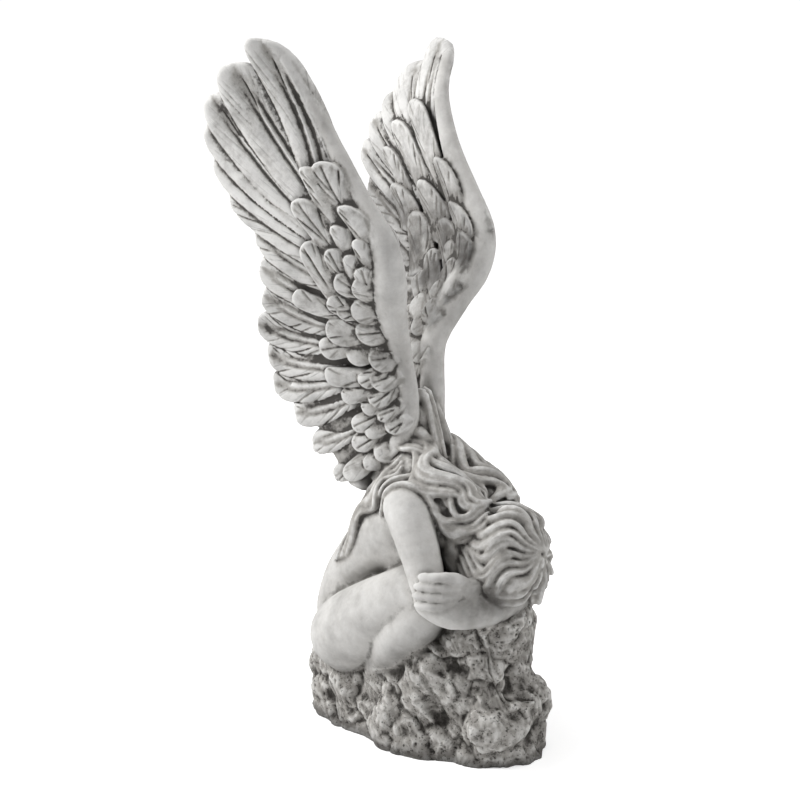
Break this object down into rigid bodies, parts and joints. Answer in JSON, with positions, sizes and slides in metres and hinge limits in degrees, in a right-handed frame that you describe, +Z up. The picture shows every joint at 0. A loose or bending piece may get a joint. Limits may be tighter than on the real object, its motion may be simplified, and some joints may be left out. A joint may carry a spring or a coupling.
{
  "type": "cemetery angel statue",
  "caption": "Cast-stone garden or cemetery angel: a nude winged figure seated on a rock, head buried in folded arms, wings raised behind.",
  "frame": {"origin": "on the ground, at the middle of the rock's flat underside", "axes": "+Z up, the figure faces -Y, so its right hand is on the -X side"},
  "size_m": [0.2846, 0.3324, 0.6872],
  "materials": {
    "cast_stone": "matte"
  },
  "bodies": {
    "root": {"angel_statue": "cast_stone"}
  },
  "joints": []
}
